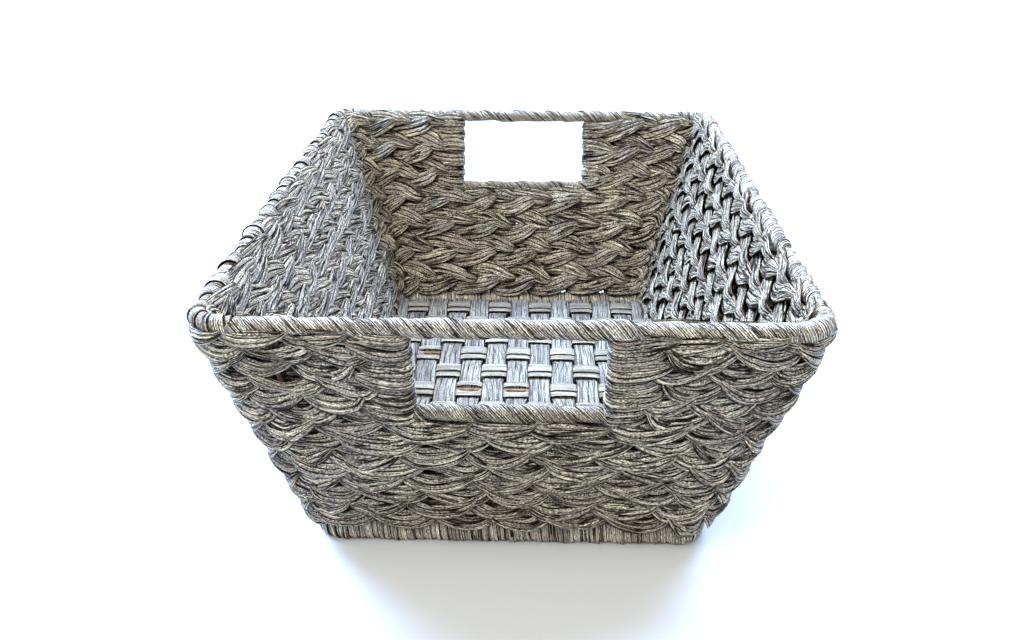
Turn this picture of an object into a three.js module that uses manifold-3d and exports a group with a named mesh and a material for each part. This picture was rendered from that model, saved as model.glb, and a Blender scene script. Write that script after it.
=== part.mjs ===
import * as THREE from "three";
import { mergeVertices } from "three/addons/utils/BufferGeometryUtils.js";
import Module from "manifold-3d";

// A rectangular storage basket: a welded wire frame with flat plastic strips woven round its uprights
// and wound on its rim, its base ring and the lower bars of its two handle openings.
// Millimetres. The origin is on the table under the middle of the basket. X runs along the short
// sides, which hold the handle openings, Y from the front to the back, and Z up.

// Driving sizes of the frame, measured to the middle of the wires
const RIM_WIDTH = 291;
const RIM_LENGTH = 391;
const RIM_HEIGHT = 147.3;
const RIM_CORNER_RADIUS = 16;
const BASE_WIDTH = 203.4;
const BASE_LENGTH = 305.8;
const BASE_CORNER_RADIUS = 12;
const FRAME_WIRE = 4;
const STAKE_WIRE = 2.5;
const STAKE_BEND = 2.5;
const SHORT_STAKE_PITCH = 30;
const LONG_STAKE_PITCH = 27;

// Driving sizes of the handle openings in the short walls
const OPENING_WIDTH = 90.5;
const HANDLE_DROP = 53;
const HANDLE_BEND = 6;

// Driving sizes of the windings and of the weave
const RIM_WINDING = 9;
const BASE_WINDING = 10;
const BAR_WINDING = 8.5;
const REST_FLAT = 0.5;
const WALL_THICKNESS = 12;
const ROW_PITCH = 9.5;
const ROW_RELIEF = 2.2;
const STITCH_RELIEF = 3.4;
const STITCH_SHIFT = 6;
const FLOOR_THICKNESS = 6;
const BAND_PITCH = 16;
const BAND_EDGE = 1;
const POCKET_LENGTH = 21;
const POCKET_DEPTH = 2.4;
const POCKET_SLOPE = 3;
const CLEARANCE = 0.3;

// How finely round shapes are divided
const FRAME_SIDES = 8;
const STAKE_SIDES = 6;
const WINDING_SIDES = 8;
const CORNER_STEPS = 2;
const FRAME_BEND_STEPS = 3;
const STAKE_BEND_STEPS = 2;
const FOLD_STEPS = 3;

// Sizes that follow from the driving ones
const baseHeight = BASE_WINDING / 2 - REST_FLAT;
const barHeight = RIM_HEIGHT - HANDLE_DROP;
const wallHalf = WALL_THICKNESS / 2;
const stickHeight = baseHeight + FRAME_WIRE / 2 + CLEARANCE + STAKE_WIRE / 2;
const weaveTop = RIM_HEIGHT - RIM_WINDING / 2 - CLEARANCE;
const weaveBottom = baseHeight + BASE_WINDING / 2 + CLEARANCE;
const barUnderside = barHeight - BAR_WINDING / 2;
const uprightOffset = OPENING_WIDTH / 2 + wallHalf;

const wasm = await Module();
wasm.setup();

// Solids and geometries
function solidFrom(geometry) {
  const bare = geometry.index ? geometry.toNonIndexed() : geometry.clone();
  bare.deleteAttribute("normal");
  bare.deleteAttribute("uv");
  const merged = mergeVertices(bare, 1e-4);
  const triVerts = new Uint32Array(merged.index.array);
  const vertProperties = merged.attributes.position.array;
  return new wasm.Manifold(new wasm.Mesh({ numProp: 3, vertProperties, triVerts }));
}

function geometryFrom(solid) {
  const mesh = solid.getMesh();
  const geometry = new THREE.BufferGeometry();
  geometry.setAttribute("position", new THREE.BufferAttribute(mesh.vertProperties, 3));
  geometry.setIndex(new THREE.BufferAttribute(mesh.triVerts, 1));
  geometry.computeVertexNormals();
  return geometry;
}

function cutFrom(geometry, cutters) {
  const left = cutters.reduce((solid, cutter) => solid.subtract(solidFrom(cutter)), solidFrom(geometry));
  return geometryFrom(left);
}

// A path that holds its stations exactly, so that straight runs cost one step
class WirePath extends THREE.Curve {
  constructor(stations, startDirection, endDirection) {
    super();
    this.stations = stations;
    this.startDirection = startDirection;
    this.endDirection = endDirection;
  }

  getPoint(t, target = new THREE.Vector3()) {
    const place = t * (this.stations.length - 1);
    const index = Math.min(Math.round(place), this.stations.length - 1);
    return target.copy(this.stations[index]);
  }

  getPointAt(u, target) {
    return this.getPoint(u, target);
  }

  getTangentAt(u, target = new THREE.Vector3()) {
    const last = this.stations.length - 1;
    const index = Math.min(Math.round(u * last), last);
    if (index === 0 && this.startDirection) return target.copy(this.startDirection);
    if (index === last && this.endDirection) return target.copy(this.endDirection);
    const here = this.stations[index];
    const arriving = here.clone().sub(this.stations[Math.max(index - 1, 0)]).normalize();
    const leaving = this.stations[Math.min(index + 1, last)].clone().sub(here).normalize();
    return target.addVectors(arriving, leaving).normalize();
  }
}

function ringOutline(radius, sides) {
  const points = [];
  for (let i = 0; i < sides; i += 1) {
    const angle = ((i + 0.5) / sides) * Math.PI * 2;
    points.push(new THREE.Vector2(radius * Math.cos(angle), radius * Math.sin(angle)));
  }
  return points;
}

function sweep(shape, stations, startDirection, endDirection) {
  const extrudePath = new WirePath(stations, startDirection, endDirection);
  return new THREE.ExtrudeGeometry(shape, { steps: stations.length - 1, bevelEnabled: false, extrudePath });
}

function sidesOf(diameter) {
  return diameter < FRAME_WIRE ? STAKE_SIDES : FRAME_SIDES;
}

function rod(stations, diameter) {
  return sweep(new THREE.Shape(ringOutline(diameter / 2, sidesOf(diameter))), stations);
}

// The space that a rod takes, with its clearance all round and past both of its ends
function channel(stations, diameter) {
  const reach = FRAME_WIRE;
  const [first, second] = stations;
  const [beforeLast, last] = stations.slice(-2);
  const start = first.clone().add(first.clone().sub(second).setLength(reach));
  const end = last.clone().add(last.clone().sub(beforeLast).setLength(reach));
  const outline = ringOutline(diameter / 2 + CLEARANCE, sidesOf(diameter));
  return sweep(new THREE.Shape(outline), [start, ...stations.slice(1, -1), end]);
}

// A winding round a wire: a sleeve whose bore clears the wire, both with flats at their true radius
function sleeve(stations, outerDiameter, startDirection, endDirection) {
  const toCorner = 1 / Math.cos(Math.PI / WINDING_SIDES);
  const shape = new THREE.Shape(ringOutline((outerDiameter / 2) * toCorner, WINDING_SIDES));
  const boreRadius = (FRAME_WIRE / 2 + CLEARANCE) * toCorner;
  shape.holes.push(new THREE.Path(ringOutline(boreRadius, WINDING_SIDES).reverse()));
  return sweep(shape, stations, startDirection, endDirection);
}

// The corners between straight runs, turned into arcs
function withBends(points, radius, steps) {
  const stations = [points[0]];
  for (let i = 1; i < points.length - 1; i += 1) {
    const arriving = points[i].clone().sub(points[i - 1]).normalize();
    const leaving = points[i + 1].clone().sub(points[i]).normalize();
    const turn = arriving.angleTo(leaving);
    const toCentre = leaving.clone().addScaledVector(arriving, -leaving.dot(arriving)).normalize();
    const start = points[i].clone().addScaledVector(arriving, -radius * Math.tan(turn / 2));
    const centre = start.clone().addScaledVector(toCentre, radius);
    for (let step = 0; step <= steps; step += 1) {
      const angle = (turn * step) / steps;
      const station = centre.clone().addScaledVector(toCentre, -radius * Math.cos(angle));
      stations.push(station.addScaledVector(arriving, radius * Math.sin(angle)));
    }
  }
  stations.push(points[points.length - 1]);
  return stations;
}

// A straight wire between two others that run along the given direction, ending just clear of them
function between(top, bottom, diameter, wireDirection) {
  const direction = bottom.clone().sub(top).normalize();
  const lean = (diameter / 2) * Math.abs(direction.dot(wireDirection));
  const trim = FRAME_WIRE / 2 + CLEARANCE + lean;
  const start = top.clone().addScaledVector(direction, trim);
  const end = bottom.clone().addScaledVector(direction, -trim);
  return [start, end];
}

// One side of the basket in its own frame: x along the side, -y outwards, z up
class Side {
  constructor(name, cornerName, rimOut, baseOut, rimAlong, baseAlong, turn) {
    this.name = name;
    this.cornerName = cornerName;
    this.rimOut = rimOut;
    this.baseOut = baseOut;
    this.rimAlong = rimAlong;
    this.baseAlong = baseAlong;
    this.turn = turn;
  }

  // Half sizes and corner radius of the middle of the wall at a height
  level(height) {
    const down = (RIM_HEIGHT - height) / (RIM_HEIGHT - baseHeight);
    return {
      out: THREE.MathUtils.lerp(this.rimOut, this.baseOut, down),
      along: THREE.MathUtils.lerp(this.rimAlong, this.baseAlong, down),
      radius: THREE.MathUtils.lerp(RIM_CORNER_RADIUS, BASE_CORNER_RADIUS, down),
    };
  }

  spot(along, height, offset = 0) {
    return new THREE.Vector3(along, -this.level(height).out - offset, height);
  }

  // A point on the rounded corner at an end of the side, at an angle from the straight part
  cornerSpot(end, angle, height, offset = 0) {
    const { out, along, radius } = this.level(height);
    const reach = radius + offset;
    const x = end * (along - radius + reach * Math.sin(angle));
    return new THREE.Vector3(x, -(out - radius + reach * Math.cos(angle)), height);
  }

  // The same, drawn back from the middle of the corner by half a clearance
  mitreSpot(end, height, offset = 0) {
    const half = Math.PI / 4;
    const spot = this.cornerSpot(end, half, height, offset);
    const back = (CLEARANCE / 2) * Math.SQRT1_2;
    return spot.add(new THREE.Vector3(-end * back, -back, 0));
  }

  // Stations from the straight part to the middle of the corner, as functions of height and offset
  cornerStations(end) {
    const stations = [];
    for (let step = 0; step < CORNER_STEPS; step += 1) {
      const angle = (Math.PI / 4) * (step / CORNER_STEPS);
      stations.push((height, offset) => this.cornerSpot(end, angle, height, offset));
    }
    stations.push((height, offset) => this.mitreSpot(end, height, offset));
    return stations;
  }

  // Stations where the strips fold round the upright of the handle frame
  foldStations(end) {
    const sharpest = Math.PI / 9;
    const stations = [];
    for (let step = 0; step < FOLD_STEPS; step += 1) {
      const angle = THREE.MathUtils.lerp(sharpest, Math.PI / 2, step / (FOLD_STEPS - 1));
      const along = uprightOffset - wallHalf * (Math.cos(angle) / Math.cos(sharpest));
      stations.push((height, offset) => this.spot(end * along, height, offset * Math.sin(angle)));
    }
    return stations;
  }
}

const shortSizes = [RIM_LENGTH / 2, BASE_LENGTH / 2, RIM_WIDTH / 2, BASE_WIDTH / 2];
const longSizes = [RIM_WIDTH / 2, BASE_WIDTH / 2, RIM_LENGTH / 2, BASE_LENGTH / 2];
const quarterTurn = Math.PI / 2;
const front = new Side("front", "front_right", ...shortSizes, 0);
const right = new Side("right", "back_right", ...longSizes, quarterTurn);
const back = new Side("back", "back_left", ...shortSizes, 2 * quarterTurn);
const left = new Side("left", "front_left", ...longSizes, 3 * quarterTurn);
const alongSide = new THREE.Vector3(1, 0, 0);
const inwards = new THREE.Vector3(0, 1, 0);
const intoCorner = new THREE.Vector3(Math.SQRT1_2, Math.SQRT1_2, 0);
const outOfCorner = new THREE.Vector3(Math.SQRT1_2, -Math.SQRT1_2, 0);

// Colours and finishes
function wireFinish() {
  return new THREE.MeshStandardMaterial({ color: 0x8a6a3c, roughness: 0.45, metalness: 0.7 });
}

function weaveFinish() {
  return new THREE.MeshStandardMaterial({ color: 0x867c6d, roughness: 0.6, metalness: 0 });
}

function windingFinish() {
  return new THREE.MeshStandardMaterial({ color: 0xa79c87, roughness: 0.55, metalness: 0 });
}

function floorFinish() {
  return new THREE.MeshStandardMaterial({ color: 0xc2c0bb, roughness: 0.6, metalness: 0 });
}

function addPiece(group, name, geometry, material) {
  const mesh = new THREE.Mesh(geometry, material);
  mesh.name = name;
  group.add(mesh);
}

// The closed wires of the rim and the base, each bent from one rod whose ends meet at the back
function ringWire(height) {
  const stations = [];
  const halfGap = CLEARANCE / 2;
  const turned = (point, side) => point.applyAxisAngle(new THREE.Vector3(0, 0, 1), side.turn);
  stations.push(turned(back.spot(halfGap, height), back));
  [back, left, front, right].forEach((side) => {
    for (let step = 0; step <= 2 * CORNER_STEPS; step += 1) {
      const angle = (Math.PI / 2) * (step / (2 * CORNER_STEPS));
      stations.push(turned(side.cornerSpot(1, angle, height), side));
    }
  });
  stations.push(turned(back.spot(-halfGap, height), back));
  return rod(stations, FRAME_WIRE);
}

// The uprights of a short wall: some end under the handle bar, the others fan out to the rim
function shortStakes(side) {
  const reach = side.baseAlong - BASE_CORNER_RADIUS / 2;
  const eachWay = Math.floor(reach / SHORT_STAKE_PITCH);
  const straightBar = uprightOffset - HANDLE_BEND;
  const underBar = Math.floor((straightBar - STAKE_WIRE) / SHORT_STAKE_PITCH);
  const stakes = [];
  for (let index = -eachWay; index <= eachWay; index += 1) {
    const atBase = index * SHORT_STAKE_PITCH;
    const beside = Math.abs(index) - underBar;
    const share = beside / (eachWay - underBar + 1);
    const atRim = Math.sign(index) * THREE.MathUtils.lerp(uprightOffset, side.rimAlong, share);
    const top = beside > 0 ? side.spot(atRim, RIM_HEIGHT) : side.spot(atBase, barHeight);
    stakes.push(between(top, side.spot(atBase, baseHeight), STAKE_WIRE, alongSide));
  }
  return stakes;
}

// The long uprights: each comes down one long wall, crosses the floor and goes up the other
function crossStakes() {
  const reach = right.baseAlong - BASE_CORNER_RADIUS - STAKE_WIRE;
  const eachWay = Math.floor(reach / LONG_STAKE_PITCH);
  const spread = (right.rimAlong - RIM_CORNER_RADIUS) / (right.baseAlong - BASE_CORNER_RADIUS);
  const stakes = [];
  for (let index = -eachWay; index <= eachWay; index += 1) {
    const atBase = index * LONG_STAKE_PITCH;
    const rim = right.spot(atBase * spread, RIM_HEIGHT);
    const corner = right.spot(atBase, stickHeight);
    const [start] = between(rim, corner, STAKE_WIRE, alongSide);
    const opposite = (point) => new THREE.Vector3(point.x, -point.y, point.z);
    const run = [start, corner, opposite(corner), opposite(start)];
    stakes.push(withBends(run, STAKE_BEND, STAKE_BEND_STEPS));
  }
  return stakes;
}

function handleFrame(side) {
  const [topLeft] = between(
    side.spot(-uprightOffset, RIM_HEIGHT),
    side.spot(-uprightOffset, barHeight),
    FRAME_WIRE,
    alongSide,
  );
  const points = [
    topLeft,
    side.spot(-uprightOffset, barHeight),
    side.spot(uprightOffset, barHeight),
    new THREE.Vector3(-topLeft.x, topLeft.y, topLeft.z),
  ];
  return withBends(points, HANDLE_BEND, FRAME_BEND_STEPS);
}

function cornerPost(side) {
  const middle = Math.PI / 4;
  const top = side.cornerSpot(1, middle, RIM_HEIGHT);
  const bottom = side.cornerSpot(1, middle, baseHeight);
  return between(top, bottom, FRAME_WIRE, intoCorner);
}

// The post at the other end of the side is the same one seen in the neighbour's frame
function mirroredPost(side) {
  return cornerPost(side).map((point) => new THREE.Vector3(-point.x, point.y, point.z));
}

// The heights at which the rows of weave meet, from the top of a panel down
function rowLevels(top, bottom) {
  const rows = Math.max(1, Math.round((top - bottom) / ROW_PITCH));
  const levels = [];
  for (let row = 0; row <= rows; row += 1) {
    levels.push(THREE.MathUtils.lerp(top, bottom, row / rows));
  }
  return levels;
}

// Where a stake runs along its wall at a height
function alongAt(stake, height) {
  const [top, lower] = stake;
  return THREE.MathUtils.mapLinear(height, top.z, lower.z, top.x, lower.x);
}

// A panel of weave. Its rows bulge outwards and inwards, and in each row one stitch follows the next at every
// stake, a little to one side of it in one row and to the other side in the next.
class WovenPanel {
  constructor(side, startStations, endStations, levels, stakes) {
    this.side = side;
    this.startStations = startStations;
    this.endStations = endStations;
    this.levels = levels;
    this.stakes = stakes;
  }

  // A line along a face, through the stations at both ends and those of the places that lie between them
  line(height, offset, places) {
    const start = this.startStations.map((station) => station(height, offset));
    const end = this.endStations.map((station) => station(height, offset));
    const from = start[start.length - 1].x + STAKE_WIRE;
    const to = end[0].x - STAKE_WIRE;
    const inside = places.filter((place) => place.along > from && place.along < to);
    const middle = inside.map((place) => this.side.spot(place.along, height, place.offset));
    return [...start, ...middle, ...end];
  }

  grooveLine(level, face) {
    const height = this.levels[level];
    const offset = face * (wallHalf - ROW_RELIEF);
    const places = this.stakes.map((stake) => ({ along: alongAt(stake, height), offset }));
    return this.line(height, offset, places);
  }

  crestLine(row, face) {
    const height = (this.levels[row] + this.levels[row + 1]) / 2;
    const shift = row % 2 === 0 ? STITCH_SHIFT : -STITCH_SHIFT;
    const gaps = this.stakes.map((stake) => alongAt(stake, height) + shift);
    const places = [];
    gaps.forEach((gap, index) => {
      if (index > 0) places.push({ along: (gaps[index - 1] + gap) / 2, offset: face * wallHalf });
      places.push({ along: gap, offset: face * (wallHalf - STITCH_RELIEF) });
    });
    return this.line(height, face * wallHalf, places);
  }

  faceLines(face) {
    const lines = [this.grooveLine(0, face)];
    for (let row = 0; row < this.levels.length - 1; row += 1) {
      lines.push(this.crestLine(row, face), this.grooveLine(row + 1, face));
    }
    return lines;
  }

  // The section across the wall at the ends of the panel
  section() {
    const outer = [];
    this.levels.forEach((level, row) => {
      outer.push(new THREE.Vector2(wallHalf - ROW_RELIEF, level));
      if (row < this.levels.length - 1) {
        outer.push(new THREE.Vector2(wallHalf, (level + this.levels[row + 1]) / 2));
      }
    });
    const inner = outer.map((point) => new THREE.Vector2(-point.x, point.y)).reverse();
    return [...outer, ...inner];
  }

  geometry() {
    const lines = [...this.faceLines(1), ...this.faceLines(-1).reverse()];
    const triangles = [];
    lines.forEach((line, index) => addStrip(triangles, line, lines[(index + 1) % lines.length]));
    THREE.ShapeUtils.triangulateShape(this.section(), []).forEach(([a, b, c]) => {
      triangles.push(lines[a][0], lines[b][0], lines[c][0]);
      triangles.push(lines[a].at(-1), lines[c].at(-1), lines[b].at(-1));
    });
    return new THREE.BufferGeometry().setFromPoints(triangles);
  }
}

// Triangles between two lines that run the same way along a wall
function addStrip(triangles, first, second) {
  let i = 0;
  let j = 0;
  while (i < first.length - 1 || j < second.length - 1) {
    const secondDone = j === second.length - 1;
    const firstLeft = i < first.length - 1;
    if (secondDone || (firstLeft && first[i + 1].x <= second[j + 1].x)) {
      triangles.push(first[i], second[j], first[i + 1]);
      i += 1;
    } else {
      triangles.push(first[i], second[j], second[j + 1]);
      j += 1;
    }
  }
}

const upperLevels = rowLevels(weaveTop, barUnderside);
const lowerLevels = rowLevels(barUnderside - CLEARANCE, weaveBottom);

// The whole basket
const basket = new THREE.Group();
basket.name = "poly_rattan_basket";
addPiece(basket, "rim_wire", ringWire(RIM_HEIGHT), wireFinish());
addPiece(basket, "base_wire", ringWire(baseHeight), wireFinish());

const crossing = crossStakes();

// What every side has: windings on the rim and base ring, a wound corner and a corner post
function addSideFrame(group, side, stakeChannels) {
  const post = cornerPost(side);
  const postChannels = [channel(post, FRAME_WIRE), channel(mirroredPost(side), FRAME_WIRE)];
  const straightEnd = side.rimAlong - RIM_CORNER_RADIUS - CLEARANCE / 2;
  const rimRun = [side.spot(-straightEnd, RIM_HEIGHT), side.spot(straightEnd, RIM_HEIGHT)];
  const rimWinding = cutFrom(sleeve(rimRun, RIM_WINDING), stakeChannels);
  addPiece(group, `rim_wrap_${side.name}`, rimWinding, windingFinish());

  const nearBase = side.cornerStations(1).map((station) => station(baseHeight, 0));
  const farBase = side.cornerStations(-1).map((station) => station(baseHeight, 0));
  const baseRun = [...farBase.reverse(), ...nearBase];
  const baseSleeve = sleeve(baseRun, BASE_WINDING, outOfCorner, intoCorner);
  const underTable = new THREE.BoxGeometry(2 * RIM_LENGTH, 2 * RIM_LENGTH, BASE_WINDING);
  underTable.translate(0, 0, -BASE_WINDING / 2);
  const baseWinding = cutFrom(baseSleeve, [underTable, ...stakeChannels, ...postChannels]);
  addPiece(group, `base_wrap_${side.name}`, baseWinding, windingFinish());

  const cornerRun = [];
  for (let step = 0; step <= 2 * CORNER_STEPS; step += 1) {
    cornerRun.push(side.cornerSpot(1, (Math.PI / 2) * (step / (2 * CORNER_STEPS)), RIM_HEIGHT));
  }
  cornerRun[0].x += CLEARANCE / 2;
  cornerRun[cornerRun.length - 1].y -= CLEARANCE / 2;
  const cornerSleeve = sleeve(cornerRun, RIM_WINDING, alongSide, inwards);
  const cornerWinding = cutFrom(cornerSleeve, [postChannels[0]]);
  addPiece(group, `rim_corner_wrap_${side.cornerName}`, cornerWinding, windingFinish());
  addPiece(group, `corner_post_${side.cornerName}`, rod(post, FRAME_WIRE), wireFinish());
  return postChannels;
}

function sideGroup(side) {
  const group = new THREE.Group();
  group.rotation.z = side.turn;
  basket.add(group);
  return group;
}

// Short walls: the handle frame with its wound bar, the stakes and three panels of weave
[front, back].forEach((side) => {
  const group = sideGroup(side);
  const frame = handleFrame(side);
  const frameChannel = channel(frame, FRAME_WIRE);
  const stakes = shortStakes(side);
  const stakeChannels = stakes.map((stake) => channel(stake, STAKE_WIRE));
  const channels = [frameChannel, ...stakeChannels];
  const postChannels = addSideFrame(group, side, channels);

  addPiece(group, `handle_frame_${side.name}`, rod(frame, FRAME_WIRE), wireFinish());
  const barEnd = uprightOffset - HANDLE_BEND;
  const barRun = [side.spot(-barEnd, barHeight), side.spot(barEnd, barHeight)];
  const barWinding = cutFrom(sleeve(barRun, BAR_WINDING), stakeChannels);
  addPiece(group, `handle_wrap_${side.name}`, barWinding, windingFinish());
  stakes.forEach((stake, index) => {
    addPiece(group, `stake_${side.name}_${index + 1}`, rod(stake, STAKE_WIRE), wireFinish());
  });

  const farCorner = side.cornerStations(-1).reverse();
  const nearCorner = side.cornerStations(1);
  const lowerPanel = new WovenPanel(side, farCorner, nearCorner, lowerLevels, stakes);
  const lower = cutFrom(lowerPanel.geometry(), [...channels, ...postChannels]);
  addPiece(group, `weave_${side.name}_lower`, lower, weaveFinish());
  const nearPanel = new WovenPanel(side, side.foldStations(1), nearCorner, upperLevels, stakes);
  const near = cutFrom(nearPanel.geometry(), [...channels, postChannels[0]]);
  const farFold = side.foldStations(-1).reverse();
  const farPanel = new WovenPanel(side, farCorner, farFold, upperLevels, stakes);
  const far = cutFrom(farPanel.geometry(), [...channels, postChannels[1]]);
  const nearName = side.cornerName.split("_")[1];
  const farName = nearName === "right" ? "left" : "right";
  addPiece(group, `weave_${side.name}_beside_handle_${nearName}`, near, weaveFinish());
  addPiece(group, `weave_${side.name}_beside_handle_${farName}`, far, weaveFinish());
});

// Long walls: one panel of weave each, from the rim to the base ring
[left, right].forEach((side) => {
  const group = sideGroup(side);
  const stakeChannels = crossing.map((stake) => channel(stake, STAKE_WIRE));
  const postChannels = addSideFrame(group, side, stakeChannels);
  const levels = [...upperLevels, ...lowerLevels.slice(1)];
  const farCorner = side.cornerStations(-1).reverse();
  const panel = new WovenPanel(side, farCorner, side.cornerStations(1), levels, crossing);
  const woven = cutFrom(panel.geometry(), [...stakeChannels, ...postChannels]);
  addPiece(group, `weave_${side.name}`, woven, weaveFinish());
});

// The long stakes and the woven floor that is threaded on them
const floorGroup = sideGroup(right);
crossing.forEach((stake, index) => {
  addPiece(floorGroup, `cross_stake_${index + 1}`, rod(stake, STAKE_WIRE), wireFinish());
});
const floorInset = BASE_WINDING / 2 + CLEARANCE;
const floorShape = new THREE.Shape();
const floorAlong = right.baseAlong - floorInset;
const floorOut = right.baseOut - floorInset;
const floorRadius = Math.max(BASE_CORNER_RADIUS - floorInset, 1);
floorShape.moveTo(floorAlong - floorRadius, -floorOut);
floorShape.absarc(floorAlong - floorRadius, -floorOut + floorRadius, floorRadius, -Math.PI / 2, 0);
floorShape.absarc(floorAlong - floorRadius, floorOut - floorRadius, floorRadius, 0, Math.PI / 2);
floorShape.absarc(-floorAlong + floorRadius, floorOut - floorRadius, floorRadius, Math.PI / 2, Math.PI);
floorShape.absarc(-floorAlong + floorRadius, -floorOut + floorRadius, floorRadius, Math.PI, 1.5 * Math.PI);
const floorSlab = new THREE.ExtrudeGeometry(floorShape, {
  depth: FLOOR_THICKNESS,
  bevelEnabled: false,
  curveSegments: CORNER_STEPS,
});
floorSlab.translate(0, 0, stickHeight - FLOOR_THICKNESS / 2);

// The space above a floor band where it dips under a stake
function pocket(along, across) {
  const surface = FLOOR_THICKNESS / 2;
  const halfWidth = (BAND_PITCH - BAND_EDGE) / 2;
  const deepest = surface - POCKET_DEPTH;
  const past = surface + POCKET_DEPTH;
  const openEnd = POCKET_LENGTH / 2;
  const profile = new THREE.Shape();
  profile.moveTo(-openEnd, past);
  profile.lineTo(-openEnd, surface);
  profile.lineTo(-openEnd + POCKET_SLOPE, deepest);
  profile.lineTo(openEnd - POCKET_SLOPE, deepest);
  profile.lineTo(openEnd, surface);
  profile.lineTo(openEnd, past);
  const geometry = new THREE.ExtrudeGeometry(profile, { depth: 2 * halfWidth, bevelEnabled: false });
  geometry.rotateX(Math.PI / 2);
  geometry.translate(along, across + halfWidth, stickHeight);
  return geometry;
}

function floorPockets() {
  const bandsEachWay = Math.floor((floorOut - BAND_PITCH / 2) / BAND_PITCH);
  const sticksEachWay = (crossing.length - 1) / 2;
  const pockets = [];
  for (let stick = -sticksEachWay; stick <= sticksEachWay; stick += 1) {
    for (let band = -bandsEachWay; band <= bandsEachWay; band += 1) {
      const under = (stick + band) % 2 === 0;
      if (under) pockets.push(pocket(stick * LONG_STAKE_PITCH, band * BAND_PITCH));
    }
  }
  return pockets;
}

const floorChannels = crossing.map((stake) => channel(stake, STAKE_WIRE));
const floorWeave = cutFrom(floorSlab, [...floorChannels, ...floorPockets()]);
addPiece(floorGroup, "floor_weave", floorWeave, floorFinish());

export default basket;
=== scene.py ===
"""The looks of a woven poly rattan basket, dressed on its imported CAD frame.

Lengths are in millimetres until a mesh is made. X runs along the short walls, Y along the long walls, and Z
up. The loop goes round the basket from the middle of the front wall, towards +X first.
"""

import math
from collections import namedtuple

import bpy
import numpy as np
from mathutils import Matrix, Vector


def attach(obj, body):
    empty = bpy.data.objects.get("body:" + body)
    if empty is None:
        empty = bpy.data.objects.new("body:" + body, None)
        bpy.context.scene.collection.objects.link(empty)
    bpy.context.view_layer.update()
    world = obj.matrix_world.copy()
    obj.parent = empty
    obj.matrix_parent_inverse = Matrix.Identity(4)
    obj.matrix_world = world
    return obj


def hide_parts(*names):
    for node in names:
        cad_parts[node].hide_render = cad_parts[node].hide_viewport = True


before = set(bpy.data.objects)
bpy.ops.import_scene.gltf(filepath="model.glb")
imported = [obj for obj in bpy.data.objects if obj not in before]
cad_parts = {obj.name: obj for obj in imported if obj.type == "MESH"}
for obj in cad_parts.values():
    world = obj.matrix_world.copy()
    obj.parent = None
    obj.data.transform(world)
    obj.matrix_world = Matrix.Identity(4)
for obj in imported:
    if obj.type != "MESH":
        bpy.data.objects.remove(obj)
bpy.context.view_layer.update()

MM = 0.001
X, Y, Z = 0, 1, 2


# Random draws

# Each kind of strand has seeds of its own, with room for a hundred stakes in a row
SEEDS = dict(
    columns=20, rim=300, caps=400, base_ring=500, bars=600, floor_bands=700, floor_strips=1040,
    lower_stitches=10000, upper_stitches=20000, folds=30000, lower_crossings=40000, upper_crossings=50000,
)
SEEDS_PER_ROW = 100
SEEDS_PER_STICK = 40


def draws(kind, number=0):
    """The random generator of one strand."""
    return np.random.default_rng(SEEDS[kind] + number)


column_rng = draws("columns")


# Sizes read from the CAD frame

FRAME_WIRE = 4.0
STAKE_WIRE = 2.5
RIM_CORNER = 16.0
BASE_CORNER = 12.0
# Length of a stake's end, and how far inside the base wire its part in the wall begins
STAKE_END = 2.0
WALL_MARGIN = 1.0


def node_points(name):
    return np.array([v.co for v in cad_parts[name].data.vertices]) / MM


def node_box(name):
    points = node_points(name)
    return points.min(0), points.max(0)


def nodes_named(start):
    return [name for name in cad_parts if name.startswith(start)]


rim_low, rim_high = node_box("rim_wire")
base_low, base_high = node_box("base_wire")
handle_low, handle_high = node_box("handle_frame_front")
stick_low, _ = node_box("cross_stake_1")
RIM_X, RIM_Y, _ = rim_high - FRAME_WIRE / 2
BASE_X, BASE_Y, _ = base_high - FRAME_WIRE / 2
RIM_Z = (rim_low[Z] + rim_high[Z]) / 2
BASE_Z = (base_low[Z] + base_high[Z]) / 2
SLOPE = math.atan2((RIM_X - BASE_X + RIM_Y - BASE_Y) / 2, RIM_Z - BASE_Z)
UPRIGHT_X = handle_high[X] - FRAME_WIRE / 2
BAR_Z = handle_low[Z] + FRAME_WIRE / 2
STICK_Z = stick_low[Z] + STAKE_WIRE / 2


def column_line(name, axis):
    """Where a stake stands along its wall, at the height of the base wire and at that of the rim wire."""
    points = node_points(name)
    if axis == Y:
        points = points[np.abs(points[:, X]) > BASE_X - WALL_MARGIN]
    low, high = points[:, Z].min(), points[:, Z].max()
    at_low = points[points[:, Z] < low + STAKE_END][:, axis].mean()
    at_high = points[points[:, Z] > high - STAKE_END][:, axis].mean()
    slope = (at_high - at_low) / (high - low)
    return at_low + slope * (BASE_Z - low), at_low + slope * (RIM_Z - low)


short_columns = [column_line(name, X) for name in nodes_named("stake_front_")]
long_columns = sorted(column_line(name, Y) for name in nodes_named("cross_stake_"))


# The shape of the walls

def share_down(z):
    """How far down a height is, from 0 at the rim wire to 1 at the base wire."""
    return (RIM_Z - z) / (RIM_Z - BASE_Z)


def outline(z):
    """Half width, half length and corner radius of the middle surface of the walls at a height."""
    share = share_down(z)
    return (
        RIM_X + (BASE_X - RIM_X) * share,
        RIM_Y + (BASE_Y - RIM_Y) * share,
        RIM_CORNER + (BASE_CORNER - RIM_CORNER) * share,
    )


def loop_lengths(z):
    """Lengths of the stretches of the loop: halves and whole sides, with a corner between any two."""
    width, length, radius = outline(z)
    a, b, c = width - radius, length - radius, radius * math.pi / 2
    return np.array([a, c, 2 * b, c, 2 * a, c, 2 * b, c, a])


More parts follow.
